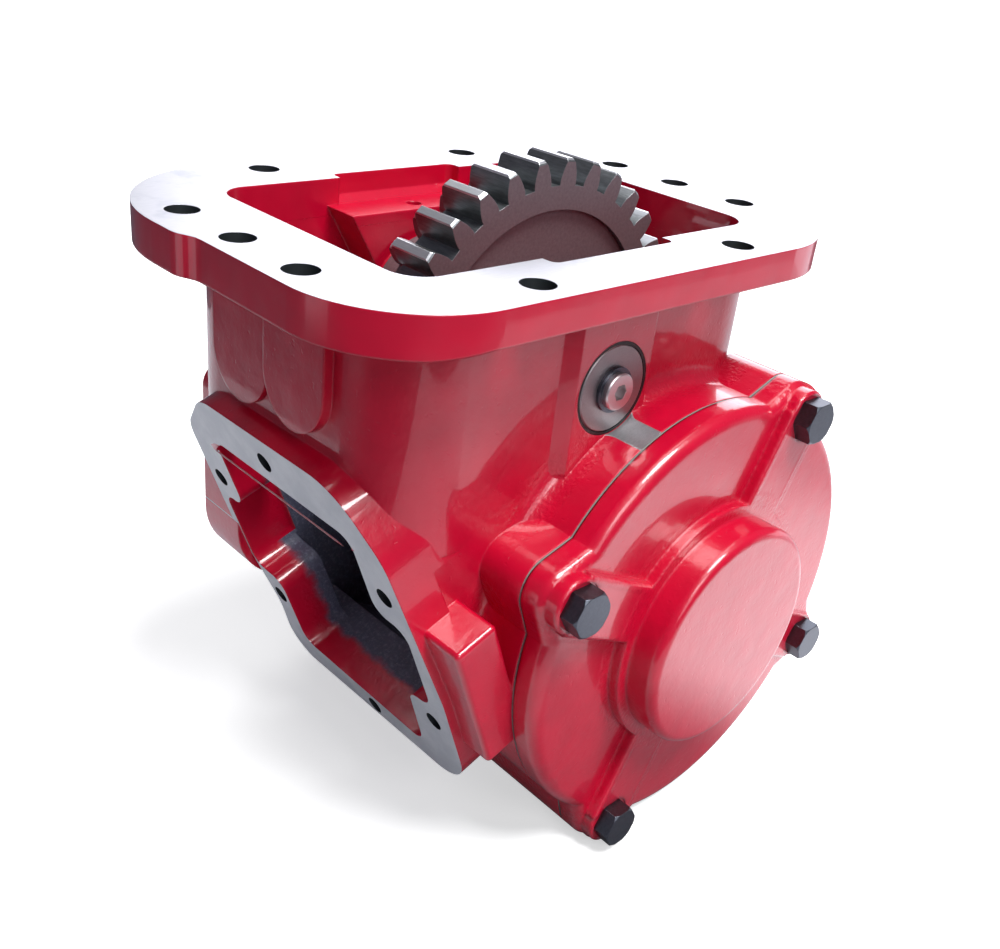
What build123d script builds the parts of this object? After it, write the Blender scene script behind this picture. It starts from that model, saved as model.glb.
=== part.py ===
from build123d import *
import os
from math import atan2, cos, degrees, pi, radians, sin, sqrt, tan

os.makedirs("parts", exist_ok=True)

# Driving dimensions, in millimetres.
# The origin is the centre of the mounting flange's machined face, +Z points out of that face,
# +X runs along the flange's long side and +Y towards the end of the output shaft.

# Mounting flange with its ten holes
flange_half_x = 119.5
flange_half_y = 89.0
flange_thick = 12.0
flange_end_thick = 14.0
flange_end_ramp = 20.0
flange_near_left_radius = 44.0
flange_far_left_radius = 62.0
flange_right_radius = 50.0
flange_bulge = 3.7
flange_bulge_step = 7.0
flange_bulge_run = 15.0
flange_bulge_radius = 12.0
bolt_hole_radius = 5.95
end_hole_inset = 11.55
corner_hole_y = 34.925
side_hole_x = 50.8
side_hole_inset = 12.8

# Opening in the flange and neck below it
opening_half_x = 85.0
opening_near_y = 57.5
opening_far_y = 54.6
opening_radius = 12.0
recess_half_x = 30.5
recess_depth = 5.8
recess_height = 13.0
recess_slope = 5.0
recess_corner = 3.0
neck_half_x = 94.0
neck_half_y = 66.0
neck_radius = 28.0
neck_depth = 96.0
neck_fillet = 4.0

# Idler shaft, its pad and bosses
idler_z = -47.7
idler_radius = 16.6
idler_pad_y = -70.4
idler_pad_half_x = 19.0
idler_pad_skirt = 9.2
idler_pad_right_skirt = 3.9
idler_boss_radius = 26.0
idler_blind_y = 63.0
idler_end_gap = 1.0
idler_end_chamfer = 0.6
rear_boss_height = 8.0
web_top = -10.5
web_half_top = 36.0
web_half_bottom = 22.0
web_bottom = -34.0
trough_radius = 17.9
o_ring_width = 1.2
o_ring_depth = 1.5
o_ring_sink = 0.15
pin_radius = 3.0
pin_y = 46.0
pin_recess = 1.0
pin_hole_top = -9.0
plug_shank = 4.0
plug_depth = 14.0
plug_head_radius = 7.0
plug_head_height = 2.4
plug_head_chamfer = 0.5
plug_socket_floor = 2.0
plug_socket = 5.56
plug_washer_radius = 8.6
plug_washer_thick = 1.4

# Gears
gear_module = 25.4 / 6.0
pressure_angle = radians(20.0)
tooth_thinning = 0.11
input_teeth = 32
drive_teeth = 25
output_teeth = 26
input_front_y = -32.3
input_width = 19.7
gear_groove = 1.8
drive_width = 16.0
hub_radius = 28.0
cluster_front_y = -47.9
cluster_rear_y = 34.9
input_web_radius = 54.0
drive_web_radius = 42.0
web_depth = 2.4
input_phase = 142.0
drive_phase = 125.0
tip_chamfer = 1.2
output_gear_width = 15.5
collar_radius = 33.0
collar_length = 15.5
fork_groove_radius = 26.0
fork_groove_width = 8.0

# Needle bearings and thrust washers
needle_radius = 1.5
needle_count = 18
needle_length = 25.6
needle_cage_length = 30.0
needle_cage_wall = 1.8
washer_thick = 2.0
washer_radius = 25.0
end_play = 0.1
needle_end_inset = 0.5
spacer_wall_gap = 0.3
spacer_end_gap = 0.4

# Output shaft and its bearings
output_angle = -67.0
shaft_end_y = 152.0
shaft_end_radius = 15.875
shaft_end_chamfer = 1.5
seal_seat_radius = 19.0
seal_seat_out = 1.0
snap_land = 2.0
shoulder_width = 6.0
shoulder_radius = 24.0
spline_radius = 20.0
spline_root = 17.5
spline_count = 10
spline_width = 6.0
front_bearing_outer = 36.0
front_bearing_inner = 17.5
front_bearing_width = 17.0
front_bearing_y = -106.5
rear_bearing_outer = 40.0
rear_bearing_inner = 20.0
rear_bearing_width = 18.0
rear_bearing_y = 60.0
front_ball_radius = 5.5
rear_ball_radius = 6.0
rear_seat_lip = 5.0
rear_seat_reach = 10.0
rear_seat_wall = 11.0
rear_seat_rise = 4.5
ball_count = 9
race_share = 0.32
cage_wall = 3.0
cage_rim = 1.2
key_width = 7.94
key_length = 38.0
key_inset = 6.0
snap_ring_thick = 1.75
snap_groove_depth = 1.2
snap_ring_height = 2.4
snap_ring_opening = 4.0

# Output barrel, its near cover and its far cap
cover_face_y = -86.0
barrel_radius = 91.0
barrel_wall = 10.5
barrel_front_wall = 9.0
barrel_rear_wall = 22.0
cover_bore = 62.0
ear_radius = 12.5
ear_root_radius = 74.6
cover_bolt_circle = 90.9
cover_bolt_angle = 64.0
ear_depth = 24.0
low_ear_depth = 46.0
neck_root_radius = 8.0
body_root_radius = 5.0
gasket_thick = 0.8
gasket_inset = 0.3
gasket_bore_gap = 1.0
gasket_hole_gap = 0.6
cover_panel = 11.5
cover_panel_step = 3.5
cover_arm_rise = 4.7
cover_arm_inset = 1.5
cover_arm_sink = 4.5
cover_arm_rounding = 1.5
cover_rounding = 5.0
cover_spot_radius = 9.8
cover_spot_depth = 0.6
cover_pilot_depth = 7.0
cover_relief = 7.0
cover_relief_depth = 3.0
cover_oil_space = 2.0
cover_oil_wall = 6.0
bearing_end_gap = 0.5
cover_arm_width = 24.0
cover_boss_radius = 47.6
cover_boss_y = -116.0
cover_boss_rounding = 3.5
cover_foot_radius = 52.5
cover_bolt_radius = 5.5
cover_bolt_flats = 15.9
cover_bolt_head = 7.1
cover_bolt_grip = 20.0
bolt_clearance = 0.35
tapped_extra = 2.0
head_chamfer_share = 0.14
cap_face_y = 84.0
cap_radius = 58.0
cap_thick = 8.0
cap_nose_radius = 33.0
cap_nose_y = 100.0
cap_rounding = 1.5
cap_nose_rounding = 2.0
cap_inner_wall = 8.0
cap_shaft_gap = 2.0
cap_bolt_turn = 30.0
cap_bolt_circle = 49.0
cap_bolt_radius = 4.0
cap_bolt_flats = 12.7
cap_bolt_head = 5.3
cap_bolt_grip = 12.0
cap_bolt_count = 6
seal_outer = 26.5
seal_length = 8.0
seal_case_gap = 3.0
seal_set_back = 0.5
seal_lip_front = 2.0
seal_lip_rear = 5.0

# Tilted side face, the opening for the shift cover.
# Places on it are given towards +Y and down its slope.
side_tilt = 21.0
side_centre = (-74.0, 0.0, -144.4)
side_near = -73.0
side_far = 61.0
side_top = -80.0
side_bottom = 71.0
side_flange = 16.0
side_body_near = -66.0
side_holes = ((0.3, -66.9), (52.0, -31.6), (43.6, 33.4), (-11.1, 65.6), (-61.2, 31.4), (-56.6, -35.2))
side_hole_radius = 4.0
side_hole_depth = 15.0
mouth_top = -57.0
mouth_bottom = 59.0
mouth_wide_near = -63.0
mouth_wide_far = 56.0
mouth_wide_half = 21.0
mouth_tall_near = -46.0
mouth_tall_far = 41.0
mouth_radius = 7.0
mouth_depth = 22.0
chamber_depth = 96.0

# Cast block and pads on the body
block_near_y = -86.0
block_set_back = 3.8
block_width = 18.6
block_top = -22.0
block_bottom = 40.0
block_rounding = 2.0
rear_pad_x = -75.0
rear_pad_top = -79.0
rear_pad_bottom = -176.0
rear_pad_radius = 30.0
neck_pad_radius = 17.5
neck_pad_z = -48.0
neck_pad_rise = 2.6
neck_pad_step = 1.4
neck_pad_drop = 3.0
neck_pad_shift = 1.5
pad_root = 4.0

# Clearances
running_gap = 0.025
slide_gap = 0.06
seat_gap = 0.05

# How far a cut runs past the face that it opens
overrun = 1.0

# Values worked out from the sizes above
end_hole_x = flange_half_x - end_hole_inset
side_hole_y = flange_half_y - side_hole_inset
flange_bulge_y = flange_half_y - flange_far_left_radius - flange_bulge_run
centre_distance = gear_module * (drive_teeth + output_teeth) / 2.0
output_x = centre_distance * cos(radians(output_angle))
output_z = idler_z + centre_distance * sin(radians(output_angle))
input_rear_y = input_front_y + input_width
drive_front_y = input_rear_y + gear_groove
drive_rear_y = drive_front_y + drive_width
output_gear_y = drive_front_y + (drive_width - output_gear_width) / 2.0
cover_seat_y = cover_face_y - gasket_thick
cover_panel_y = cover_seat_y - cover_panel
cover_arm_y = cover_panel_y - cover_arm_rise
cap_seat_y = cap_face_y + gasket_thick
tilt = radians(side_tilt)
cluster_bore = idler_radius + 2.0 * needle_radius + 2.0 * running_gap
front_washer_y = cluster_front_y - end_play - washer_thick
rear_washer_y = cluster_rear_y + end_play
front_needles_y = cluster_front_y + needle_end_inset
rear_needles_y = cluster_rear_y - needle_end_inset - needle_cage_length
snap_ring_y = rear_bearing_y + rear_bearing_width
snap_groove_radius = rear_bearing_inner - snap_groove_depth


def ring(outer, inner, y_low, y_high, x=0.0, z=0.0):
    """A turned ring about an axis along Y."""
    solid = cylinder_y(outer, y_low, y_high, x, z)
    return solid - cylinder_y(inner, y_low - overrun, y_high + overrun, x, z)


def cylinder_y(radius, y_low, y_high, x=0.0, z=0.0):
    """A cylinder about an axis along Y."""
    plane = Plane(origin=(x, y_low, z), x_dir=(1, 0, 0), z_dir=(0, 1, 0))
    return extrude(plane * Circle(radius), y_high - y_low)


def cylinder_z(radius, z_low, z_high, x, y):
    """A cylinder about an axis along Z."""
    return Pos(x, y, z_low) * extrude(Circle(radius), z_high - z_low)


def profile_y(sketch, y_low, y_high, x=0.0, z=0.0):
    """Extrude a sketch drawn in X and Z, where its first axis is +X and its second +Z."""
    plane = Plane(origin=(x, y_high, z), x_dir=(1, 0, 0), z_dir=(0, -1, 0))
    return extrude(plane * sketch, y_high - y_low)


def box_between(low, high):
    """A box given by two opposite corners."""
    size = [high[i] - low[i] for i in range(3)]
    middle = [(high[i] + low[i]) / 2.0 for i in range(3)]
    return Pos(*middle) * Box(*size)


def polar(radius, angle):
    """A point from a radius and an angle in degrees."""
    return radius * cos(radians(angle)), radius * sin(radians(angle))


def rounded_outline(corners):
    """A closed face from (x, y, radius) corners."""
    points = [(x, y) for x, y, _ in corners]
    radii = [r for _, _, r in corners]
    return make_face(FilletPolyline(*points, radius=radii, close=True))


# Gears
def tooth_flank(base, start, end, steps=5):
    """Points of an involute from one radius to another, in polar form."""
    points = []
    for i in range(steps + 1):
        radius = max(base, start) + (end - max(base, start)) * i / steps
        roll = sqrt(max((radius / base) ** 2 - 1.0, 0.0))
        points.append((radius, roll - atan2(roll, 1.0)))
    return points


def gear_face(teeth, phase):
    """The outline of a spur gear with a tooth centred on the phase angle, in degrees."""
    pitch = gear_module * teeth / 2.0
    base = pitch * cos(pressure_angle)
    tip = pitch + gear_module
    root = pitch - 1.2 * gear_module
    half_at_pitch = pi / (2.0 * teeth) - tooth_thinning / pitch
    half_at_base = half_at_pitch + tan(pressure_angle) - pressure_angle
    flank = tooth_flank(base, root, tip)
    tooth_step = 2.0 * pi / teeth
    root_half = half_at_base
    edges = []
    for k in range(teeth):
        middle = radians(phase) + k * tooth_step

        def place(radius, offset):
            return radius * cos(middle + offset), radius * sin(middle + offset)

        rising = [place(r, a - half_at_base) for r, a in flank]
        falling = [place(r, half_at_base - a) for r, a in reversed(flank)]
        foot_in = place(root, -root_half)
        foot_out = place(root, root_half)
        next_foot = place(root, tooth_step - root_half)
        gap_middle = place(root, tooth_step / 2.0)
        if base > root:
            edges.append(Line(foot_in, rising[0]))
        edges.append(Spline(*rising))
        edges.append(ThreePointArc(rising[-1], place(tip, 0.0), falling[0]))
        edges.append(Spline(*falling))
        if base > root:
            edges.append(Line(falling[-1], foot_out))
        edges.append(ThreePointArc(foot_out, gap_middle, next_foot))
    return make_face(edges)


def toothed_row(teeth, phase, y_low, y_high, x, z):
    """A row of teeth whose tips are chamfered at both ends."""
    tip = gear_module * (teeth / 2.0 + 1.0)
    row = profile_y(gear_face(teeth, phase), y_low, y_high, x, z)
    blank = cylinder_y(tip + 0.1, y_low, y_high, x, z)
    ends = blank.edges().filter_by(GeomType.CIRCLE)
    return row & chamfer(ends, tip_chamfer)


def cluster_gear():
    front_row = toothed_row(input_teeth, input_phase, input_front_y, input_rear_y, 0.0, idler_z)
    rear_row = toothed_row(drive_teeth, drive_phase, drive_front_y, drive_rear_y, 0.0, idler_z)
    groove_radius = gear_module * (drive_teeth / 2.0 - 1.6)
    solid = front_row + rear_row
    solid += cylinder_y(groove_radius, input_rear_y - overrun, drive_front_y + overrun, 0.0, idler_z)
    solid += cylinder_y(hub_radius, cluster_front_y, cluster_rear_y, 0.0, idler_z)
    solid -= ring(input_web_radius, hub_radius, input_front_y, input_front_y + web_depth, 0.0, idler_z)
    solid -= ring(drive_web_radius, hub_radius, drive_rear_y - web_depth, drive_rear_y, 0.0, idler_z)
    solid -= cylinder_y(cluster_bore, cluster_front_y - overrun, cluster_rear_y + overrun, 0.0, idler_z)
    return solid


def output_gear_phase():
    """The angle that puts a gap of the sliding gear where a tooth of the cluster points at it."""
    step = 360.0 / drive_teeth
    lead = (drive_phase - output_angle + step / 2.0) % step - step / 2.0
    gap = output_angle + 180.0 - lead * drive_teeth / output_teeth
    return gap + 180.0 / output_teeth


def spline_profile(radius, root, width):
    """A round core with straight keys, as on a splined shaft."""
    face = Circle(root)
    reach = radius - root / 2.0
    for k in range(spline_count):
        key = Pos(root / 2.0 + reach / 2.0, 0) * Rectangle(reach, width)
        face += Rot(0, 0, 360.0 * k / spline_count) * key
    return face & Circle(radius)


def sliding_gear():
    rear_y = output_gear_y + output_gear_width
    solid = toothed_row(output_teeth, output_gear_phase(), output_gear_y, rear_y, output_x, output_z)
    collar = cylinder_y(collar_radius, rear_y, rear_y + collar_length, output_x, output_z)
    groove_y = rear_y + (collar_length - fork_groove_width) / 2.0
    collar -= ring(collar_radius + overrun, fork_groove_radius, groove_y, groove_y + fork_groove_width,
                   output_x, output_z)
    solid += collar
    bore = spline_profile(spline_radius + slide_gap, spline_root + slide_gap, spline_width + 2.0 * slide_gap)
    bore_end = rear_y + collar_length + overrun
    return solid - profile_y(bore, output_gear_y - overrun, bore_end, output_x, output_z)


# Idler shaft and its bearings
def idler_shaft():
    solid = cylinder_y(idler_radius, idler_pad_y, idler_blind_y - idler_end_gap, 0.0, idler_z)
    solid = chamfer(solid.edges().filter_by(GeomType.CIRCLE), idler_end_chamfer)
    solid -= cylinder_y(plug_shank, idler_pad_y - overrun, idler_pad_y + plug_depth + overrun, 0.0, idler_z)
    solid -= cylinder_z(pin_radius, idler_z, idler_z + idler_boss_radius, 0.0, pin_y)
    return solid


def idler_plug_washer():
    return ring(plug_washer_radius, plug_shank + seat_gap, idler_pad_y - plug_washer_thick, idler_pad_y,
                0.0, idler_z)


def hexagon(flats):
    return RegularPolygon(flats / 2.0, 6, major_radius=False)


def idler_shaft_plug():
    head_y = idler_pad_y - plug_washer_thick
    solid = cylinder_y(plug_head_radius, head_y - plug_head_height, head_y, 0.0, idler_z)
    rim = solid.edges().filter_by(GeomType.CIRCLE).sort_by(Axis.Y)[0]
    solid = chamfer(rim, plug_head_chamfer)
    solid += cylinder_y(plug_shank, head_y, idler_pad_y + plug_depth, 0.0, idler_z)
    socket = profile_y(hexagon(plug_socket), head_y - plug_head_height - overrun,
                       head_y + plug_socket_floor, 0.0, idler_z)
    return solid - socket


def idler_shaft_o_ring():
    return ring(idler_radius + o_ring_width, idler_radius + running_gap, idler_pad_y + o_ring_sink,
                idler_pad_y + o_ring_depth, 0.0, idler_z)


def idler_shaft_pin():
    top = idler_z + idler_boss_radius - pin_recess
    return cylinder_z(pin_radius - running_gap, idler_z + idler_radius / 2.0, top, 0.0, pin_y)


def needle_rollers(y_low):
    """One set of needles as a group of separate solids."""
    orbit = idler_radius + needle_radius + running_gap
    start_y = y_low + (needle_cage_length - needle_length) / 2.0
    rollers = []
    for k in range(needle_count):
        x, z = polar(orbit, 360.0 * k / needle_count)
        rollers.append(cylinder_y(needle_radius, start_y, start_y + needle_length, x, idler_z + z))
    return Compound(children=rollers)


def needle_cage(y_low):
    orbit = idler_radius + needle_radius + running_gap
    half = needle_cage_wall / 2.0
    window_y = y_low + (needle_cage_length - needle_length) / 2.0 - seat_gap
    solid = ring(orbit + half, orbit - half, y_low, y_low + needle_cage_length, 0.0, idler_z)
    reach = needle_cage_wall + overrun
    window = box_between((orbit - reach, window_y, -needle_radius - seat_gap),
                         (orbit + reach, window_y + needle_length + 2.0 * seat_gap, needle_radius + seat_gap))
    for k in range(needle_count):
        solid -= Pos(0, 0, idler_z) * Rot(0, -360.0 * k / needle_count, 0) * window
    return solid


def needle_spacer():
    front = front_needles_y + needle_cage_length + spacer_end_gap
    return ring(cluster_bore - spacer_wall_gap, idler_radius + spacer_wall_gap, front,
                rear_needles_y - spacer_end_gap, 0.0, idler_z)


def thrust_washer(y_low):
    return ring(washer_radius, idler_radius + seat_gap, y_low, y_low + washer_thick, 0.0, idler_z)


# Output shaft and what it carries
def output_shaft():
    front_end = front_bearing_y + front_bearing_width
    shoulder_y = rear_bearing_y - shoulder_width
    land_y = snap_ring_y + snap_ring_thick + snap_land
    sections = [
        (front_bearing_inner, front_bearing_y - bearing_end_gap + seat_gap, front_end),
        (shoulder_radius, shoulder_y, rear_bearing_y),
        (rear_bearing_inner, rear_bearing_y, land_y),
        (seal_seat_radius, land_y, cap_nose_y + seal_seat_out),
    ]
    splines = spline_profile(spline_radius, spline_root, spline_width)
    solid = profile_y(splines, front_end, shoulder_y, output_x, output_z)
    for radius, y_low, y_high in sections:
        solid += cylinder_y(radius, y_low, y_high, output_x, output_z)
    end = cylinder_y(shaft_end_radius, cap_nose_y, shaft_end_y, output_x, output_z)
    tip = end.edges().filter_by(GeomType.CIRCLE).sort_by(Axis.Y)[-1]
    solid += chamfer(tip, shaft_end_chamfer)
    solid -= ring(rear_bearing_inner + overrun, snap_groove_radius, snap_ring_y,
                  snap_ring_y + snap_ring_thick, output_x, output_z)
    return solid - key_seat()


def key_seat():
    """The block cut from the shaft's end for the key of what it drives."""
    half = key_width / 2.0
    rear = shaft_end_y - key_inset
    return box_between((output_x - half, rear - key_length, output_z + shaft_end_radius - half),
                       (output_x + half, rear, output_z + shaft_end_radius + half))


def snap_ring():
    """A flat ring that is open at the top."""
    outside = rear_bearing_inner + snap_ring_height
    rear = snap_ring_y + snap_ring_thick
    solid = ring(outside, snap_groove_radius + seat_gap, snap_ring_y + seat_gap, rear - seat_gap,
                 output_x, output_z)
    half = snap_ring_opening / 2.0
    gap = box_between((output_x - half, snap_ring_y - overrun, output_z),
                      (output_x + half, rear + overrun, output_z + outside + overrun))
    return solid - gap


def bearing_races(inner, outer, ball, y_low, width):
    """The outer and inner race of a ball bearing, each with its round groove."""
    orbit = (inner + outer) / 2.0
    land = race_share * (outer - inner)
    middle = y_low + width / 2.0
    section = Plane(origin=(output_x, middle, output_z), x_dir=(1, 0, 0), z_dir=(0, 0, 1))
    circle = section * (Pos(orbit, 0) * Circle(ball + running_gap))
    groove = revolve(circle, Axis((output_x, middle, output_z), (0, 1, 0)))
    outer_race = ring(outer, outer - land, y_low, y_low + width, output_x, output_z) - groove
    inner_race = ring(inner + land, inner, y_low, y_low + width, output_x, output_z) - groove
    return outer_race, inner_race


def bearing_balls(inner, outer, ball, y_low, width):
    """The balls as a group of separate solids."""
    orbit = (inner + outer) / 2.0
    balls = []
    for k in range(ball_count):
        x, z = polar(orbit, 360.0 * k / ball_count)
        balls.append(Pos(output_x + x, y_low + width / 2.0, output_z + z) * Sphere(ball))
    return Compound(children=balls)


def bearing_cage(inner, outer, ball, y_low, width):
    """A ring between the races with a round pocket for each ball."""
    orbit = (inner + outer) / 2.0
    middle = y_low + width / 2.0
    half_wall = cage_wall / 2.0
    half_width = ball + cage_rim
    solid = ring(orbit + half_wall, orbit - half_wall, middle - half_width, middle + half_width,
                 output_x, output_z)
    for k in range(ball_count):
        x, z = polar(1.0, 360.0 * k / ball_count)
        outward = Plane(origin=(output_x + orbit * x, middle, output_z + orbit * z), x_dir=(0, 1, 0),
                        z_dir=(x, 0, z))
        solid -= outward * Cylinder(ball + seat_gap, 2.0 * ball)
    return solid


# Near cover
def cover_bolt_places():
    return [polar(cover_bolt_circle, cover_bolt_angle + 90.0 * k) for k in range(4)]


def ear_outline(place, inset=0.0):
    """An ear round a bolt with straight sides towards the middle of the cover."""
    tip = Pos(*place) * Circle(ear_radius - inset)
    return make_hull(list(tip.edges()) + list(Circle(ear_root_radius).edges()))


def cover_outline(inset=0.0):
    """The round cover with its four ears, drawn about the output axis."""
    face = Circle(barrel_radius - inset)
    for place in cover_bolt_places():
        face += ear_outline(place, inset)
    return face


def cover_profile(sketch, y_low, y_high):
    return profile_y(sketch, y_low, y_high, output_x, output_z)


def cover_plate(sketch, front_y, rounding):
    """A cast plate on the cover's seat with its front edges rounded."""
    plate = cover_profile(sketch, front_y, cover_seat_y)
    return fillet(plate.edges().group_by(Axis.Y)[0], rounding)


def cover_arms():
    """Four flat arms from the boss to the bolt seats."""
    arms = []
    for x, z in cover_bolt_places():
        angle = degrees(atan2(z, x))
        bar = Pos(cover_bolt_circle / 2.0, 0) * Rectangle(cover_bolt_circle, cover_arm_width)
        arm = Pos(x, z) * Circle(ear_radius - cover_arm_inset) + Rot(0, 0, angle) * bar
        arm = arm & cover_outline(cover_arm_inset)
        raised = cover_profile(arm, cover_arm_y, cover_panel_y + cover_arm_sink)
        arms.append(fillet(raised.edges().group_by(Axis.Y)[0], cover_arm_rounding))
    return arms


def bearing_cover():
    half_plane = Pos(0, -barrel_radius) * Rectangle(4.0 * barrel_radius, 2.0 * barrel_radius)
    raised_half = Rot(0, 0, cover_bolt_angle) * half_plane
    solid = cover_plate(cover_outline(), cover_panel_y, cover_rounding)
    solid += cover_plate(cover_outline() & raised_half, cover_panel_y - cover_panel_step, cover_rounding)
    for arm in cover_arms():
        solid += arm
    foot = cylinder_y(cover_foot_radius, cover_arm_y, cover_seat_y, output_x, output_z)
    boss = cylinder_y(cover_boss_radius, cover_boss_y, cover_seat_y, output_x, output_z)
    boss_rim = boss.edges().filter_by(GeomType.CIRCLE).sort_by(Axis.Y)[0]
    pilot_end = cover_seat_y + cover_pilot_depth
    solid += foot
    solid += fillet(boss_rim, cover_boss_rounding)
    solid += cylinder_y(cover_bore - seat_gap, cover_seat_y, pilot_end, output_x, output_z)
    seat_floor = front_bearing_y - bearing_end_gap
    solid -= ring(cover_bore - cover_relief, front_bearing_outer + cover_relief,
                  cover_seat_y - cover_relief_depth, pilot_end + overrun, output_x, output_z)
    solid -= cylinder_y(front_bearing_outer, seat_floor, pilot_end + overrun, output_x, output_z)
    solid -= cylinder_y(front_bearing_outer - cover_oil_wall, seat_floor - cover_oil_space, front_bearing_y,
                        output_x, output_z)
    for x, z in cover_bolt_places():
        hole = cylinder_y(cover_bolt_radius + bolt_clearance, cover_arm_y - overrun, cover_seat_y + overrun,
                          output_x + x, output_z + z)
        spot = cylinder_y(cover_spot_radius, cover_arm_y - overrun, cover_arm_y + cover_spot_depth,
                          output_x + x, output_z + z)
        solid = solid - hole - spot
    return solid


def cover_gasket():
    sketch = cover_outline(gasket_inset) - Circle(cover_bore + gasket_bore_gap)
    for x, z in cover_bolt_places():
        sketch -= Pos(x, z) * Circle(cover_bolt_radius + gasket_hole_gap)
    return cover_profile(sketch, cover_seat_y, cover_face_y)


def hex_bolt(flats, head, radius, seat_y, tip_y, x, z, outward):
    """A hex bolt along Y with a chamfered head, where outward is -1 or 1."""
    low = min(seat_y, seat_y + outward * head)
    high = max(seat_y, seat_y + outward * head)
    corner = flats / sqrt(3.0)
    blank = cylinder_y(corner, low, high, x, z)
    crown = blank.edges().filter_by(GeomType.CIRCLE).sort_by(Axis.Y)[0 if outward < 0 else -1]
    solid = chamfer(crown, head * head_chamfer_share) & profile_y(hexagon(flats), low, high, x, z)
    shank_low = min(seat_y, tip_y)
    shank_high = max(seat_y, tip_y)
    return solid + cylinder_y(radius, shank_low, shank_high, x, z)


def cover_bolts():
    bolts = []
    for x, z in cover_bolt_places():
        bolts.append(hex_bolt(cover_bolt_flats, cover_bolt_head, cover_bolt_radius,
                              cover_arm_y + cover_spot_depth, cover_face_y + cover_bolt_grip,
                              output_x + x, output_z + z, -1))
    return Compound(children=bolts)


# Far cap with the oil seal
def cap_bolt_places():
    step = 360.0 / cap_bolt_count
    return [polar(cap_bolt_circle, cap_bolt_turn + step * k) for k in range(cap_bolt_count)]


def rear_bearing_cap():
    flange = cylinder_y(cap_radius, cap_seat_y, cap_seat_y + cap_thick, output_x, output_z)
    flange = fillet(flange.edges().filter_by(GeomType.CIRCLE).sort_by(Axis.Y)[-1], cap_rounding)
    nose = cylinder_y(cap_nose_radius, cap_seat_y, cap_nose_y, output_x, output_z)
    nose = fillet(nose.edges().filter_by(GeomType.CIRCLE).sort_by(Axis.Y)[-1], cap_nose_rounding)
    solid = flange + nose
    solid += cylinder_y(rear_bearing_outer - seat_gap, snap_ring_y, cap_seat_y, output_x, output_z)
    solid -= cylinder_y(rear_bearing_outer - cap_inner_wall, snap_ring_y - overrun, cap_seat_y + overrun,
                        output_x, output_z)
    solid -= cylinder_y(seal_seat_radius + cap_shaft_gap, cap_seat_y - overrun, cap_nose_y + overrun,
                        output_x, output_z)
    solid -= cylinder_y(seal_outer, cap_nose_y - seal_length, cap_nose_y + overrun, output_x, output_z)
    for x, z in cap_bolt_places():
        solid -= cylinder_y(cap_bolt_radius + bolt_clearance, cap_seat_y - overrun,
                            cap_seat_y + cap_thick + overrun, output_x + x, output_z + z)
    return solid


def rear_cap_gasket():
    sketch = Circle(cap_radius - gasket_inset) - Circle(rear_bearing_outer + gasket_bore_gap)
    for x, z in cap_bolt_places():
        sketch -= Pos(x, z) * Circle(cap_bolt_radius + gasket_hole_gap)
    return profile_y(sketch, cap_face_y, cap_seat_y, output_x, output_z)


def rear_cap_bolts():
    bolts = []
    for x, z in cap_bolt_places():
        bolts.append(hex_bolt(cap_bolt_flats, cap_bolt_head, cap_bolt_radius, cap_seat_y + cap_thick,
                              cap_face_y - cap_bolt_grip, output_x + x, output_z + z, 1))
    return Compound(children=bolts)


def output_oil_seal():
    """A pressed case with a sealing lip that bears on the shaft."""
    low = cap_nose_y - seal_length
    inner = seal_seat_radius + seal_case_gap
    case = ring(seal_outer, inner, low, cap_nose_y - seal_set_back, output_x, output_z)
    lip = ring(inner, seal_seat_radius + running_gap, low + seal_lip_front, low + seal_lip_rear,
               output_x, output_z)
    return case + lip


# Tilted side face
side_plane = Plane(origin=side_centre, x_dir=(0, 1, 0), z_dir=(-cos(tilt), 0, -sin(tilt)))


def side_prism(sketch, start, stop):
    """Extrude a sketch on the side face from one depth behind it to another."""
    return extrude(side_plane.offset(-start) * sketch, start - stop)


def side_outline():
    return rounded_outline([
        (side_far, side_top + 24.0, 16.0),
        (side_far - 22.0, side_top + 2.0, 20.0),
        (side_near + 27.0, side_top, 26.0),
        (side_near + 9.0, side_top + 24.0, 26.0),
        (side_near, side_top + 92.0, 40.0),
        (side_near + 2.0, side_bottom - 2.0, 22.0),
        (side_far - 9.0, side_bottom + 2.0, 14.0),
        (side_far - 13.0, side_bottom - 30.0, 24.0),
        (side_far, side_bottom - 66.0, 24.0),
    ])


def side_mouth():
    """The mouth of the side opening: it steps in round the four holes at its sides."""
    r = mouth_radius
    return rounded_outline([
        (mouth_tall_far, mouth_top, r),
        (mouth_tall_far, -mouth_wide_half, r),
        (mouth_wide_far, -mouth_wide_half, r),
        (mouth_wide_far, mouth_wide_half, r),
        (mouth_tall_far - 4.0, mouth_wide_half, r),
        (mouth_tall_far - 4.0, mouth_bottom, r),
        (mouth_tall_near, mouth_bottom, r),
        (mouth_tall_near - 3.0, mouth_wide_half + 2.0, r),
        (mouth_wide_near, mouth_wide_half, r),
        (mouth_wide_near, -mouth_wide_half, r),
        (mouth_tall_near, -mouth_wide_half, r),
        (mouth_tall_near, mouth_top, r),
    ])


def side_rectangle(y_low, y_high, top, bottom):
    middle = ((y_low + y_high) / 2.0, (top + bottom) / 2.0)
    return Pos(*middle) * Rectangle(y_high - y_low, bottom - top)


# Housing
def flange_outline():
    return rounded_outline([
        (flange_half_x, flange_half_y, flange_right_radius),
        (flange_half_x, -flange_half_y, flange_right_radius),
        (-flange_half_x, -flange_half_y, flange_near_left_radius),
        (-flange_half_x, flange_bulge_y - flange_bulge_step, flange_bulge_radius),
        (-flange_half_x - flange_bulge, flange_bulge_y, flange_bulge_radius),
        (-flange_half_x - flange_bulge, flange_half_y, flange_far_left_radius),
    ])


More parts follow.
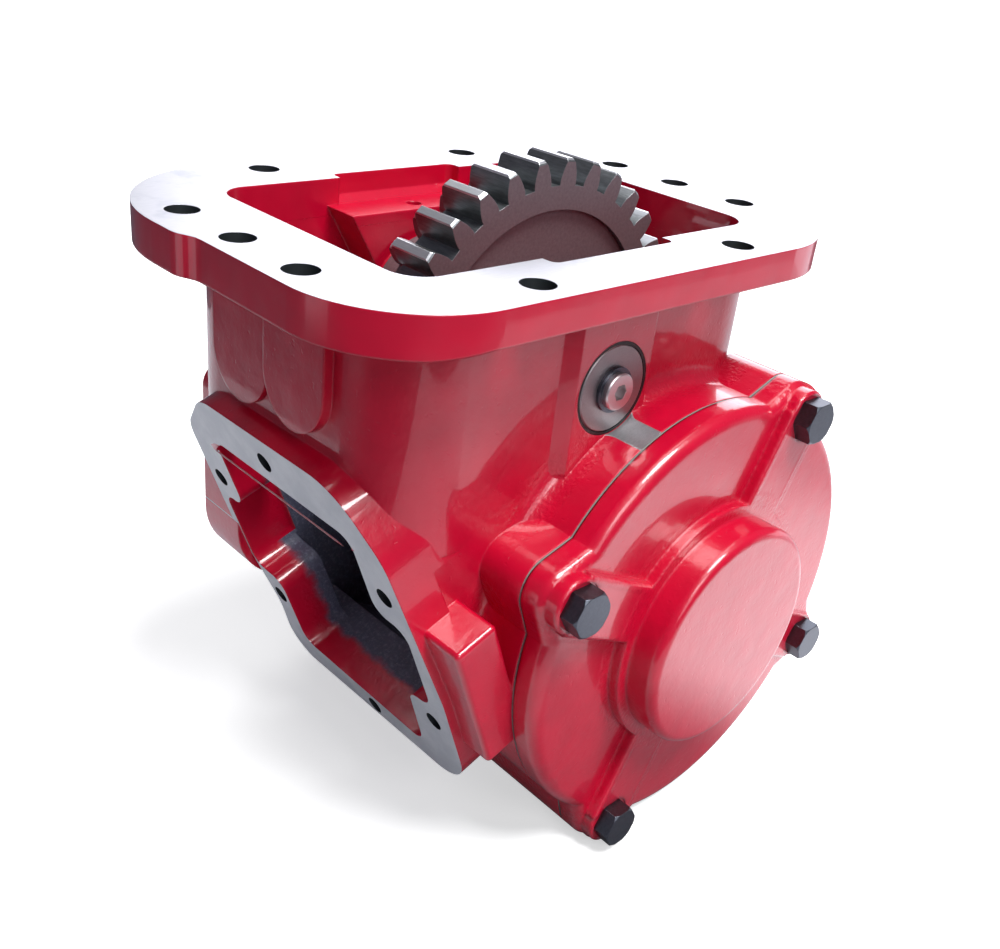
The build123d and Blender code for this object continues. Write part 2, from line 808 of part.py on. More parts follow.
def flange_holes():
    places = []
    for x in (-end_hole_x, end_hole_x):
        places += [(x, corner_hole_y), (x, 0.0), (x, -corner_hole_y)]
    for x in (-side_hole_x, side_hole_x):
        places += [(x, side_hole_y), (x, -side_hole_y)]
    return places


def flange_and_neck():
    """The flange plate on the neck, with a rounded root between them and a thicker left end."""
    solid = extrude(flange_outline(), -flange_thick)
    solid += extrude(RectangleRounded(2.0 * neck_half_x, 2.0 * neck_half_y, neck_radius), -neck_depth)
    root = []
    for edge in solid.edges():
        middle = edge.center()
        inner = abs(middle.X) < neck_half_x + 1.0 and abs(middle.Y) < neck_half_y + 1.0
        if inner and abs(middle.Z + flange_thick) < 0.1:
            root.append(edge)
    solid = fillet(root, neck_fillet)
    ramp_x = -neck_half_x - neck_fillet
    end_x = -flange_half_x - 2.0 * flange_bulge
    section = make_face(Polyline(
        (end_x, 0.0),
        (end_x, -flange_end_thick),
        (ramp_x, -flange_end_thick),
        (ramp_x + flange_end_ramp, -flange_thick),
        (ramp_x + flange_end_ramp, 0.0),
        close=True,
    ))
    end_zone = profile_y(section, -flange_half_y - overrun, flange_half_y + overrun)
    return solid + (extrude(flange_outline(), -flange_end_thick) & end_zone)


def neck_pads():
    """Two round-bottomed pads side by side on the neck's end wall."""
    pads = []
    far_pad = (1.0, neck_pad_rise, 0.0)
    near_pad = (-1.0, neck_pad_rise + neck_pad_step, neck_pad_drop)
    for side, rise, drop in (far_pad, near_pad):
        y = side * neck_pad_radius + neck_pad_shift
        low = neck_pad_z + drop
        sketch = Pos(y, low) * Circle(neck_pad_radius)
        sketch += Pos(y, low / 2.0) * Rectangle(2.0 * neck_pad_radius, -low)
        wall = Plane(origin=(-neck_half_x + pad_root, 0, 0), x_dir=(0, 1, 0), z_dir=(1, 0, 0))
        pads.append(extrude(wall * sketch, -pad_root - rise))
    return pads


def idler_pad():
    sketch = make_face(Polyline(
        (-idler_pad_half_x - idler_pad_skirt, -neck_half_y + pad_root),
        (-idler_pad_half_x, idler_pad_y),
        (idler_pad_half_x, idler_pad_y),
        (idler_pad_half_x + idler_pad_right_skirt, -neck_half_y + pad_root),
        close=True,
    ))
    return Pos(0, 0, output_z) * extrude(sketch, -output_z - 1.0)


def rear_pad():
    right = output_x
    sketch = rounded_outline([
        (rear_pad_x, rear_pad_top, 10.0),
        (right, rear_pad_top, 10.0),
        (right, rear_pad_bottom, 10.0),
        (rear_pad_x, rear_pad_bottom, rear_pad_radius),
    ])
    return profile_y(sketch, side_far - pad_root, cap_face_y)


def side_block():
    sketch = side_rectangle(block_near_y, side_body_near + pad_root, block_top, block_bottom)
    block = side_prism(sketch, block_set_back, block_set_back + block_width)
    return fillet(block.edges(), block_rounding)


def near_root_arc(solid):
    """The longest arc where the barrel meets the near walls of the neck and the body."""
    arcs = []
    for edge in solid.edges().filter_by(GeomType.CIRCLE):
        middle = edge @ 0.5
        reach = sqrt((middle.X - output_x) ** 2 + (middle.Z - output_z) ** 2)
        if abs(reach - barrel_radius) < 0.05 and abs(middle.Y + neck_half_y) < 0.01:
            arcs.append(edge)
    return [max(arcs, key=lambda edge: edge.length)]


def neck_body_barrel():
    """The neck, the body behind the side face and the barrel, with coves cast in their corners."""
    neck = extrude(RectangleRounded(2.0 * neck_half_x, 2.0 * neck_half_y, neck_radius), -neck_depth)
    barrel = cylinder_y(barrel_radius, cover_face_y, cap_face_y, output_x, output_z)
    body = side_outline() & side_rectangle(side_body_near, side_far, side_top, side_bottom)
    neck_and_barrel = neck + barrel
    all_three = neck + side_prism(body, 0.0, chamber_depth) + barrel
    neck_and_barrel = fillet(near_root_arc(neck_and_barrel), neck_root_radius)
    all_three = fillet(near_root_arc(all_three), body_root_radius)
    return neck_and_barrel + all_three


def low_ear():
    """The lowest ear, which runs further back along the barrel than the others."""
    lowest = min(cover_bolt_places(), key=lambda place: place[1])
    return cover_profile(ear_outline(lowest), cover_face_y, cover_face_y + low_ear_depth)


def housing_outside():
    solid = flange_and_neck() + neck_body_barrel()
    for pad in neck_pads():
        solid += pad
    solid += idler_pad()
    solid += side_prism(side_outline(), 0.0, side_flange)
    solid += cover_profile(cover_outline(), cover_face_y, cover_face_y + ear_depth)
    solid += low_ear()
    solid += rear_pad()
    solid += side_block()
    solid += cylinder_y(idler_boss_radius, idler_z, neck_half_y + rear_boss_height, 0.0, idler_z)
    return solid


def neck_cavity():
    width = 2.0 * opening_half_x
    length = opening_near_y + opening_far_y
    middle = (opening_far_y - opening_near_y) / 2.0
    solid = extrude(Pos(0, middle) * RectangleRounded(width, length, opening_radius), -neck_depth)
    recess_length = length + 2.0 * recess_depth
    recess = Pos(0, middle) * RectangleRounded(2.0 * recess_half_x, recess_length, recess_corner)
    side_view = make_face(Polyline(
        (-opening_near_y - recess_depth, 0.0),
        (-opening_near_y - recess_depth, recess_slope - recess_height),
        (-opening_near_y, -recess_height),
        (opening_far_y, -recess_height),
        (opening_far_y + recess_depth, recess_slope - recess_height),
        (opening_far_y + recess_depth, 0.0),
        close=True,
    ))
    across = Plane(origin=(-recess_half_x, 0, 0), x_dir=(0, 1, 0), z_dir=(1, 0, 0))
    return solid + (extrude(recess, -recess_height) & extrude(across * side_view, 2.0 * recess_half_x))


def housing_inside():
    solid = neck_cavity()
    cavity_radius = barrel_radius - barrel_wall
    solid += cylinder_y(cavity_radius, cover_face_y + barrel_front_wall, cap_face_y - barrel_rear_wall,
                        output_x, output_z)
    solid += side_prism(side_mouth(), -overrun, mouth_depth)
    chamber = side_rectangle(-opening_near_y, opening_far_y, mouth_top, mouth_bottom)
    solid += side_prism(chamber, mouth_depth - overrun, chamber_depth)
    return solid


def inner_bosses():
    """Bosses that carry the idler shaft, and the ring that seats the rear bearing."""
    front = cylinder_y(idler_boss_radius, -neck_half_y, front_washer_y, 0.0, idler_z)
    rear = cylinder_y(idler_boss_radius, rear_washer_y + washer_thick, neck_half_y, 0.0, idler_z)
    web = make_face(Polyline(
        (-web_half_top, web_top),
        (web_half_top, web_top),
        (web_half_bottom, web_bottom),
        (-web_half_bottom, web_bottom),
        close=True,
    ))
    web_solid = profile_y(web, rear_washer_y + washer_thick + overrun, opening_far_y + overrun)
    seat = cylinder_y(rear_bearing_outer + rear_seat_wall, rear_bearing_y - rear_seat_rise,
                      cap_face_y - barrel_rear_wall + overrun, output_x, output_z)
    return front + rear + web_solid + seat


def housing_bores():
    cuts = [
        cylinder_y(idler_radius + seat_gap, idler_pad_y - overrun, idler_blind_y, 0.0, idler_z),
        cylinder_y(idler_radius + o_ring_width + seat_gap, idler_pad_y - overrun, idler_pad_y + o_ring_depth,
                   0.0, idler_z),
        cylinder_y(trough_radius, cover_face_y - overrun, idler_pad_y, 0.0, idler_z),
        cylinder_z(pin_radius, idler_z, pin_hole_top, 0.0, pin_y),
        cylinder_y(cover_bore, cover_face_y - overrun, cover_face_y + barrel_front_wall + overrun,
                   output_x, output_z),
        cylinder_y(rear_bearing_outer, rear_bearing_y, cap_face_y + overrun, output_x, output_z),
        cylinder_y(rear_bearing_outer - rear_seat_lip, rear_bearing_y - rear_seat_reach, cap_face_y,
                   output_x, output_z),
    ]
    for x, y in flange_holes():
        cuts.append(cylinder_z(bolt_hole_radius, -flange_end_thick - overrun, overrun, x, y))
    for x, z in cover_bolt_places():
        cuts.append(cylinder_y(cover_bolt_radius + seat_gap, cover_face_y - overrun,
                               cover_face_y + cover_bolt_grip + tapped_extra, output_x + x, output_z + z))
    for x, z in cap_bolt_places():
        cuts.append(cylinder_y(cap_bolt_radius + seat_gap, cap_face_y - cap_bolt_grip - tapped_extra,
                               cap_face_y + overrun, output_x + x, output_z + z))
    for y, down in side_holes:
        cuts.append(side_prism(Pos(y, down) * Circle(side_hole_radius), -overrun, side_hole_depth))
    return cuts


def housing():
    solid = housing_outside()
    solid -= housing_inside()
    solid += inner_bosses()
    for cut in housing_bores():
        solid -= cut
    return solid


def save(name, shape):
    shape.label = name
    export_step(shape, f"parts/{name}.step")


front_bearing = (front_bearing_inner, front_bearing_outer, front_ball_radius, front_bearing_y,
                 front_bearing_width)
rear_bearing = (rear_bearing_inner, rear_bearing_outer, rear_ball_radius, rear_bearing_y, rear_bearing_width)
front_outer, front_inner = bearing_races(*front_bearing)
rear_outer, rear_inner = bearing_races(*rear_bearing)

save("housing", housing())
save("bearing_cover", bearing_cover())
save("cover_gasket", cover_gasket())
save("cover_bolts", cover_bolts())
save("cluster_gear", cluster_gear())
save("idler_shaft", idler_shaft())
save("idler_shaft_o_ring", idler_shaft_o_ring())
save("idler_shaft_plug", idler_shaft_plug())
save("idler_plug_washer", idler_plug_washer())
save("idler_shaft_pin", idler_shaft_pin())
save("front_thrust_washer", thrust_washer(front_washer_y))
save("rear_thrust_washer", thrust_washer(rear_washer_y))
save("front_needle_cage", needle_cage(front_needles_y))
save("front_needle_rollers", needle_rollers(front_needles_y))
save("rear_needle_cage", needle_cage(rear_needles_y))
save("rear_needle_rollers", needle_rollers(rear_needles_y))
save("needle_spacer", needle_spacer())
save("output_shaft", output_shaft())
save("output_shaft_snap_ring", snap_ring())
save("sliding_gear", sliding_gear())
save("front_bearing_outer_race", front_outer)
save("front_bearing_inner_race", front_inner)
save("front_bearing_balls", bearing_balls(*front_bearing))
save("front_bearing_cage", bearing_cage(*front_bearing))
save("rear_bearing_outer_race", rear_outer)
save("rear_bearing_inner_race", rear_inner)
save("rear_bearing_balls", bearing_balls(*rear_bearing))
save("rear_bearing_cage", bearing_cage(*rear_bearing))
save("rear_bearing_cap", rear_bearing_cap())
save("rear_cap_gasket", rear_cap_gasket())
save("rear_cap_bolts", rear_cap_bolts())
save("output_oil_seal", output_oil_seal())
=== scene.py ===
from collections import namedtuple
from math import cos, radians, sin

import bpy
from mathutils import Matrix, Vector


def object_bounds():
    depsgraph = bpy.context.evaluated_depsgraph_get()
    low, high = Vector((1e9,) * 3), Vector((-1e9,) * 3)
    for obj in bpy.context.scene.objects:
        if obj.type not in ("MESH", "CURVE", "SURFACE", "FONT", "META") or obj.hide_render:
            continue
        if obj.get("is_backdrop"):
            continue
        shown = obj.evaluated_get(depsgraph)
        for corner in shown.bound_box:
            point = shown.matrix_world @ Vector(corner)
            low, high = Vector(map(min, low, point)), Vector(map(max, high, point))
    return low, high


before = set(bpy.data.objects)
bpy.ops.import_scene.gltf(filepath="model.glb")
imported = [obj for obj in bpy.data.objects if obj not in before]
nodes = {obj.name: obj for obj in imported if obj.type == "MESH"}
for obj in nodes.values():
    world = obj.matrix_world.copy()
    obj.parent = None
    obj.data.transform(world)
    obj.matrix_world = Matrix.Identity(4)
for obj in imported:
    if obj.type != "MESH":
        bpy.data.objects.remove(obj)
cad_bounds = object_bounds()
print("pieces from CAD:", len(nodes))

# %% [markdown]
# The places below are the ones the CAD model is drawn from. The flange's machined face is z = 0, the idler
# axis runs along Y below it, and the output axis lies lower on the right. The side opening's face is tilted,
# and a point is in front of it when it lies further out along the face's normal.
# %% Places on the object
mm = 0.001
across_x = (1, 0, 0)
across_y = (0, 1, 0)
upward = (0, 0, 1)
idler_axis = Vector((0.0, 0.0, -47.7)) * mm
output_axis = Vector((42.18, 0.0, -147.07)) * mm
side_tilt = radians(21.0)
side_centre = Vector((-74.0, 0.0, -144.4)) * mm
side_normal = Vector((-cos(side_tilt), 0.0, -sin(side_tilt)))
side_down = Vector((sin(side_tilt), 0.0, -cos(side_tilt)))
print("output axis below the idler axis, in mm:", round((idler_axis - output_axis).z / mm, 2))

# %% [markdown]
# The photograph is taken from the near left corner, close to the unit, with the camera turned a little about
# its own line of sight. A camera can be placed by eye, but then every comparison with the photograph is a
# little off. This one's place was worked out from the flange's ten holes, which are all on one plane at known
# distances, so the lens and the turn below repeat the photograph's perspective.
# %% Camera
camera_place = Vector((-285.03, -297.54, 100.96)) * mm
camera_yaw = radians(45.755)
camera_pitch = radians(-27.363)
camera_roll = radians(6.553)
focal_pixels = 1102.5
frame_pixels = 1000.0
sensor_width = 36.0


def place_camera():
    """A camera that looks along the given yaw and pitch, then turned about its line of sight."""
    level = Vector((sin(camera_yaw), cos(camera_yaw), 0.0))
    ahead = level * cos(camera_pitch) + Vector(upward) * sin(camera_pitch)
    level_right = ahead.cross(Vector(upward)).normalized()
    level_up = level_right.cross(ahead)
    right = cos(camera_roll) * level_right + sin(camera_roll) * level_up
    up = -sin(camera_roll) * level_right + cos(camera_roll) * level_up
    data = bpy.data.cameras.new("photo_camera")
    data.sensor_width = sensor_width
    data.lens = sensor_width * focal_pixels / frame_pixels
    data.clip_start = 0.01
    camera = bpy.data.objects.new("photo_camera", data)
    bpy.context.scene.collection.objects.link(camera)
    turn = Matrix((right, up, -ahead)).transposed()
    camera.matrix_world = Matrix.Translation(camera_place) @ turn.to_4x4()
    bpy.context.scene.camera = camera
    return camera


camera = place_camera()
print("camera lens in mm:", round(camera.data.lens, 2))

# %% [markdown]
# A finish is easier to read as arithmetic than as a web of nodes. The first class below wraps one socket, so
# that mask * 0.5 + noise adds the Math nodes by itself.
# %% Shader arithmetic


def connect(tree, value, socket):
    """Put a number, a colour or another socket into a socket."""
    if isinstance(value, Wave):
        tree.links.new(value.socket, socket)
    else:
        socket.default_value = value


class Wave:
    """One shader socket, with arithmetic that adds Math nodes."""

    def __init__(self, tree, socket):
        self.tree = tree
        self.socket = socket

    def math(self, operation, *others):
        return self.calculate(operation, self, *others)

    def calculate(self, operation, *values):
        """A Math node on values in the order given."""
        node = self.tree.nodes.new("ShaderNodeMath")
        node.operation = operation
        for value, socket in zip(values, node.inputs):
            connect(self.tree, value, socket)
        return Wave(self.tree, node.outputs[0])

    def __add__(self, other):
        return self.math("ADD", other)

    def __radd__(self, other):
        return self.math("ADD", other)

    def __sub__(self, other):
        return self.math("SUBTRACT", other)

    def __rsub__(self, other):
        return self.calculate("SUBTRACT", other, self)

    def __mul__(self, other):
        return self.math("MULTIPLY", other)

    def above(self, edge):
        return self.math("GREATER_THAN", edge)

    def below(self, edge):
        return self.math("LESS_THAN", edge)

    def between(self, low, high):
        return self.above(low) * self.below(high)

    def ramp(self, low, high, start=0.0, end=1.0):
        """Rise from start to end while this value goes from low to high."""
        node = self.tree.nodes.new("ShaderNodeMapRange")
        node.interpolation_type = "SMOOTHSTEP"
        for value, socket in zip((self, low, high, start, end), node.inputs):
            connect(self.tree, value, socket)
        return Wave(self.tree, node.outputs[0])

    def band(self, middle, half_width):
        """One at a middle value, falling to nothing at a half width to each side."""
        return (self - middle).math("ABSOLUTE").ramp(half_width * 0.5, half_width, 1.0, 0.0)


# %% [markdown]
# The second class holds one material. It measures where the surface is and which way it faces, so a finish
# can be told to start 46 mm from the idler axis, or at the cover's joint. It never asks where the camera is,
# so a finish is the same from every side.
# %% Material builder


class Finish:
    """A material under construction."""

    def __init__(self, name):
        self.material = bpy.data.materials.new(name)
        self.material.use_nodes = True
        self.tree = self.material.node_tree
        self.shader = self.tree.nodes["Principled BSDF"]
        where = self.tree.nodes.new("ShaderNodeNewGeometry")
        self.place = Wave(self.tree, where.outputs["Position"])
        self.facing = Wave(self.tree, where.outputs["Normal"])

    def add(self, kind, settings=None, inputs=None, output=0):
        """Any node: its settings are made first, then its sockets are filled."""
        node = self.tree.nodes.new(kind)
        for key, value in (settings or {}).items():
            setattr(node, key, value)
        for key, value in (inputs or {}).items():
            connect(self.tree, value, node.inputs[key])
        return Wave(self.tree, node.outputs[output])

    def set(self, **values):
        """Fill sockets of the surface shader, named with _ for a space."""
        for key, value in values.items():
            connect(self.tree, value, self.shader.inputs[key.replace("_", " ")])

    def noise(self, size, detail=3.0, roughness=0.5, stretch=(1, 1, 1), offset=(0, 0, 0)):
        """Noise whose lumps are about one size across, in metres."""
        scale = tuple(s / size for s in stretch)
        place = self.add("ShaderNodeMapping", {}, {"Vector": self.place, "Scale": scale, "Location": offset})
        return self.add("ShaderNodeTexNoise", {}, {"Vector": place, "Scale": 1.0, "Detail": detail,
                                                   "Roughness": roughness})

    def away_from(self, point):
        return self.add("ShaderNodeVectorMath", {"operation": "SUBTRACT"}, {0: self.place, 1: tuple(point)})

    def along(self, direction, origin=(0, 0, 0)):
        """Distance from an origin along a direction."""
        return self.add("ShaderNodeVectorMath", {"operation": "DOT_PRODUCT"},
                        {0: self.away_from(origin), 1: tuple(direction)}, output="Value")

    def faces(self, direction):
        """How much the surface faces a direction, from -1 to 1."""
        return self.add("ShaderNodeVectorMath", {"operation": "DOT_PRODUCT"},
                        {0: self.facing, 1: tuple(direction)}, output="Value")

    def near_line(self, point, direction, radius):
        """One inside a radius of a line through a point."""
        across = self.add("ShaderNodeVectorMath", {"operation": "CROSS_PRODUCT"},
                          {0: self.away_from(point), 1: tuple(direction)})
        distance = self.add("ShaderNodeVectorMath", {"operation": "LENGTH"}, {0: across}, output="Value")
        return distance.below(radius)

    def radius(self, centre, first=across_x, second=upward):
        """Distance from a centre in the plane of two directions. Left out, they give an axis along Y."""
        a = self.along(first, centre)
        b = self.along(second, centre)
        return (a * a + b * b).math("SQRT")

    def mix(self, factor, a, b):
        """Blend two colours."""
        return self.add("ShaderNodeMix", {"data_type": "RGBA"}, {"Factor": factor, "A": a, "B": b}, "Result")

    def mix_normals(self, factor, a, b):
        """Blend two normals. A Mix node's fifth and sixth sockets are its vectors, and its second output."""
        return self.add("ShaderNodeMix", {"data_type": "VECTOR"}, {"Factor": factor, 4: a, 5: b}, 1)

    def bump(self, height, depth, normal):
        """A normal bent by a height between 0 and 1, with a depth in metres."""
        return self.add("ShaderNodeBump", {}, {"Height": height, "Strength": 1.0, "Distance": depth,
                                               "Normal": normal})

    def rounded(self, radius):
        """The surface normal, turned smoothly over edges within a radius."""
        return self.add("ShaderNodeBevel", {"samples": 8}, {"Radius": radius})


dressed = []


def dress(finish, *names):
    """Give a finish to CAD nodes."""
    for name in names:
        slots = nodes[name].data.materials
        slots.clear()
        slots.append(finish.material)
        dressed.append(name)


def rgb(red, green, blue):
    """A colour given as on screen, from 0 to 255, as the linear values that shaders use."""
    channels = [value / 255.0 for value in (red, green, blue)]
    linear = [c / 12.92 if c <= 0.04045 else ((c + 0.055) / 1.055) ** 2.4 for c in channels]
    return (*linear, 1.0)


# %% [markdown]
# The castings are sprayed with glossy red enamel over a sand-cast skin. The enamel flows, so its small
# hollows are rounded, and a reflection breaks up into a ragged line at its border instead of fading. Slow
# waves of the casting, the peel of the enamel, hairs at the borders of reflections and a few pits of the sand
# make that skin, and the coarse corners get a grain of their own. Every cast edge is soft. A bump node bends
# the light for all of it, because the relief is a third of a millimetre high at most.
# %% Red enamel on cast iron
enamel_red = rgb(208, 4, 50)
enamel_deep = rgb(186, 2, 42)
enamel_roughness = 0.3
clear_coat = 0.8
clear_coat_roughness = 0.05
casting_edge = 1.2 * mm

Skin = namedtuple("Skin", "size detail height shift")
cast_waves = Skin(13.0 * mm, 1.0, 0.35 * mm, (0, 0, 0))
enamel_peel = Skin(2.6 * mm, 2.0, 0.09 * mm, (0, 0, 0))
border_hairs = Skin(1.0 * mm, 1.0, 0.022 * mm, (4, 1, 8))
sand_pits = Skin(2.3 * mm, 1.0, 0.06 * mm, (7, 3, 5))
corner_grain = Skin(1.7 * mm, 2.0, 0.3 * mm, (3, 9, 1))
pit_floor = 0.22
pit_rim = 0.32
grain_everywhere = 0.1
print("highest relief of the skin in mm:", cast_waves.height / mm)


def lumps(finish, skin):
    """The heights of one kind of lump, from 0 to 1."""
    return finish.noise(skin.size, skin.detail, 0.5, offset=skin.shift)


def enamel(finish, edge_radius, smooth=0.0, rough=0.0):
    """The enamel's colour and bent normal. Smooth takes the cast grain away, rough is 1 in coarse corners."""
    cast = 1.0 - smooth
    waves = lumps(finish, cast_waves)
    colour = finish.mix(waves, enamel_deep, enamel_red)
    normal = finish.bump(waves, cast_waves.height, finish.rounded(edge_radius))
    normal = finish.bump(lumps(finish, enamel_peel) * cast, enamel_peel.height, normal)
    normal = finish.bump(lumps(finish, border_hairs) * cast, border_hairs.height, normal)
    pits = lumps(finish, sand_pits).ramp(pit_floor, pit_rim)
    normal = finish.bump(pits * cast, sand_pits.height, normal)
    grain = lumps(finish, corner_grain) * (rough + grain_everywhere) * cast
    return colour, finish.bump(grain, corner_grain.height, normal)


# %% [markdown]
# The bearing cover has four arms from its boss to its bolts. The sand left its coarsest grain on the slopes
# beside them and round the boss, and a dark line of painted shadow stands for the shade in the gap where the
# cover meets its gasket. Both could be painted on by hand, but the arms and the joint have known places, so
# a distance from an arm's middle line, or one along Y, finds them exactly.
# %% Cover and rear cap
cover_edge = 2.4 * mm
arm_angle = radians(64.0)
arm_slope = 12.0 * mm
arm_slope_half = 4.0 * mm
boss_slope = 53.0 * mm
boss_slope_half = 6.0 * mm
boss_radius = 50.0 * mm
# Where the cover meets its gasket, a dark line of painted shadow stands for the shade in the gap.
joint_near = -87.2 * mm
joint_far = -86.0 * mm
gap_shadow_colour = rgb(30, 16, 20)
gap_shadow_strength = 0.85


def cover_corners(finish):
    """One on the slopes beside the cover's four arms and round its boss."""
    first = finish.along((cos(arm_angle), 0, sin(arm_angle)), output_axis).math("ABSOLUTE")
    second = finish.along((-sin(arm_angle), 0, cos(arm_angle)), output_axis).math("ABSOLUTE")
    radius = finish.radius(output_axis)
    second_slopes = second.band(arm_slope, arm_slope_half)
    beside_arms = first.band(arm_slope, arm_slope_half).math("MAXIMUM", second_slopes)
    round_boss = radius.band(boss_slope, boss_slope_half)
    return (beside_arms * radius.above(boss_radius)).math("MAXIMUM", round_boss)


def painted(name, edge_radius, corners=None, gap_shadowed=False):
    """A casting with enamel all over, with a painted shadow along its gasket joint where it has one."""
    finish = Finish(name)
    colour, normal = enamel(finish, edge_radius, rough=corners(finish) if corners else 0.0)
    if gap_shadowed:
        # Painted shadow along the gap at the gasket joint.
        gap_shadow = finish.along(across_y).between(joint_near, joint_far)
        colour = finish.mix(gap_shadow * gap_shadow_strength, colour, gap_shadow_colour)
    finish.set(Base_Color=colour, Roughness=enamel_roughness, Normal=normal, Coat_Weight=clear_coat,
               Coat_Roughness=clear_coat_roughness)
    return finish


dress(painted("enamelled_cover", cover_edge, cover_corners, gap_shadowed=True), "bearing_cover")
dress(painted("enamelled_cap", casting_edge), "rear_bearing_cap")
print("painted castings:", dressed)

# %% [markdown]
# The housing is one casting whose joints are milled after it is painted: the flange's top, the tilted side
# face and the trough by the idler shaft are bare iron. Its drilled holes are dark, and the red fades to raw
# dark iron deep inside. Separate materials on separate faces would do for the flat joints, but inside the
# opening no face ends where the paint does. So one material covers the casting, and each place is found from
# where the surface is and which way it faces.
# %% Places on the housing
face_margin = 0.08 * mm
flange_edge_depth = 14.5 * mm
flange_edge_smoothness = 0.85
steep = 0.3
square_on = 0.9
trough_y = -70.4 * mm
trough_reach = 18.1 * mm
barrel_slope = 95.0 * mm
barrel_slope_half = 9.0 * mm
barrel_slope_y = -76.0 * mm

flange_hole_depth = 15.0 * mm
flange_hole_reach = 6.2 * mm
side_hole_depth = 16.0 * mm
side_hole_reach = 4.2 * mm
end_hole_x = 107.95
end_hole_y = 34.925
middle_hole_x = 50.8
middle_hole_y = 76.2
flange_holes = [(x, y) for x in (-end_hole_x, end_hole_x) for y in (end_hole_y, 0.0, -end_hole_y)]
flange_holes += [(x, y) for x in (-middle_hole_x, middle_hole_x) for y in (middle_hole_y, -middle_hole_y)]
# Along Y and down the tilted face.
side_holes = ((0.3, -66.9), (52.0, -31.6), (43.6, 33.4), (-11.1, 65.6), (-61.2, 31.4), (-56.6, -35.2))
print("holes in the flange and the side face:", len(flange_holes), len(side_holes))


def flange_top(finish):
    return finish.along(upward).above(-face_margin)


def flange_edge(finish):
    """One on the flange's upright edge."""
    return finish.along(upward).above(-flange_edge_depth) * finish.faces(upward).math("ABSOLUTE").below(steep)


def side_face(finish):
    on_plane = finish.along(side_normal, side_centre).between(-face_margin, face_margin)
    return on_plane * finish.faces(side_normal).above(square_on)


def idler_trough(finish):
    near_enough = finish.radius(idler_axis).below(trough_reach)
    return finish.along(across_y).below(trough_y - face_margin) * near_enough


def barrel_corner(finish):
    """One on the slope between the output barrel and the cover's flange."""
    slope = finish.radius(output_axis).band(barrel_slope, barrel_slope_half)
    return slope * finish.along(across_y).above(barrel_slope_y)


def drilled(finish):
    """One on the walls of the drilled holes in the flange and in the side face."""
    flange_points = [Vector((x, y, 0)) * mm for x, y in flange_holes]
    side_points = [side_centre + (Vector((0, y, 0)) + side_down * down) * mm for y, down in side_holes]
    in_flange = sum(finish.near_line(point, upward, flange_hole_reach) for point in flange_points)
    in_side = sum(finish.near_line(point, side_normal, side_hole_reach) for point in side_points)
    in_flange *= finish.along(upward).above(-flange_hole_depth)
    return in_flange + in_side * finish.along(side_normal, side_centre).above(-side_hole_depth)


# %% [markdown]
# Little spray gets into the case through its side opening. The enamel reaches about 15 mm in, and ends there
# in a ragged line. A plain limit would look like the edge of masking tape, so the depth behind the opening's
# face is shifted by noise before it is compared. The other limits keep the raw iron off the outer walls.
# %% Raw iron in the opening
barrel_inside = 82.0 * mm
barrel_near_y = -77.5 * mm
barrel_far_y = 63.0 * mm
chamber_top = -57.8 * mm
chamber_bottom = 59.8 * mm
chamber_near_y = -58.0 * mm
chamber_far_y = 55.2 * mm
chamber_depth = 80.0 * mm
ragged_size = 7.0 * mm
ragged_reach = 8.0 * mm
spray_fades = 15.0 * mm
spray_ends = 20.0 * mm


def raw_inside(finish):
    """How much of the casting is raw iron behind the side opening, from 0 to 1."""
    y = finish.along(across_y)
    down = finish.along(side_down, side_centre)
    inward = finish.along(side_normal, side_centre) * -1.0
    in_barrel = finish.radius(output_axis).below(barrel_inside) * y.between(barrel_near_y, barrel_far_y)
    in_chamber = down.between(chamber_top, chamber_bottom) * y.between(chamber_near_y, chamber_far_y)
    in_chamber *= inward.below(chamber_depth)
    ragged = inward + finish.noise(ragged_size) * ragged_reach
    return ragged.ramp(spray_fades, spray_ends) * in_barrel.math("MAXIMUM", in_chamber)


# %% [markdown]
# The milled faces are streaky along the cutter's way. The side face also greys towards its lower end with a
# painted shade, and the flange's face carries a few cloudy stains. Noise stretched along one axis draws such
# streaks and finely broken noise draws such stains, so no picture has to be wrapped round the casting.
# %% Colours of the bare iron
feed_size = 0.5 * mm
feed_depth = 0.012 * mm
crisp_edge = 0.25 * mm
flange_iron = (rgb(180, 182, 188), rgb(208, 209, 213))
flange_stain = rgb(150, 156, 168)
stain_size = 24.0 * mm
stain_strength = 0.45
side_rim = rgb(214, 220, 222)
# Grey of the side face's random patches and of its painted shade towards the lower end.
side_mottle_and_shade = rgb(178, 186, 192)
side_streak = rgb(190, 196, 200)
patch_size = 14.0 * mm
# Where the side face's painted shade starts and reaches its full grey, down the face.
side_shade_from = -40.0 * mm
side_shade_to = 70.0 * mm
trough_iron = (rgb(138, 141, 145), rgb(186, 187, 190))
hole_shade = rgb(58, 64, 66)
raw_iron = (rgb(84, 88, 108), rgb(118, 122, 142))
grit_size = 1.6 * mm


def bare_iron(finish, streaks, on_side, in_trough, in_holes):
    """The milled faces' colours: the flange's first, then the others over it."""
    stains = finish.noise(stain_size, 4.0, 0.65, offset=(2, 5, 0)).ramp(0.5, 0.68)
    flange = finish.mix(stains * stain_strength, finish.mix(streaks, *flange_iron), flange_stain)
    patches = finish.noise(patch_size, 4.0, 0.6).ramp(0.35, 0.65)
    # Painted shade: the side face gets darker towards its lower end.
    lower_shade = finish.along(side_down, side_centre).ramp(side_shade_from, side_shade_to)
    side = finish.mix(patches * 0.5 + lower_shade * 0.5, side_rim, side_mottle_and_shade)
    side = finish.mix(streaks * 0.5, side, side_streak)
    colour = finish.mix(on_side, flange, side)
    colour = finish.mix(in_trough, colour, finish.mix(streaks, *trough_iron))
    return finish.mix(in_holes, colour, hole_shade)


